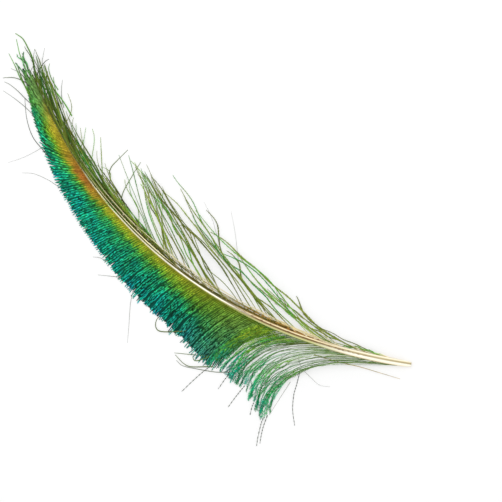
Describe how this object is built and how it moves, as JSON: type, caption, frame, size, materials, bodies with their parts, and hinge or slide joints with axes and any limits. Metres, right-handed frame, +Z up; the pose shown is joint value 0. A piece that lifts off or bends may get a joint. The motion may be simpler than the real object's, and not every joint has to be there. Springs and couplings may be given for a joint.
{
  "type": "peacock sword feather",
  "caption": "Curved peacock sword feather lying flat: pale shaft, a dense blue-green vane on the outer side and loose green herls on the inner side.",
  "frame": {"origin": "on the surface that the feather lies on, under the middle of its outline", "axes": "+X from the quill's end towards the tip along the chord, +Y towards the dense outer vane, +Z up from the surface"},
  "size_m": [0.3056, 0.1132, 0.0043],
  "materials": {
    "shaft_keratin": "pale cream horn with a tan groove, low sheen",
    "outer_barbs": "iridescent barbs, gold by the shaft, then green and blue-green",
    "inner_herls": "dry olive and grass-green herls"
  },
  "bodies": {
    "root": {"shaft": "shaft_keratin", "outer_vane": "outer_barbs", "inner_vane": "inner_herls"}
  },
  "joints": []
}
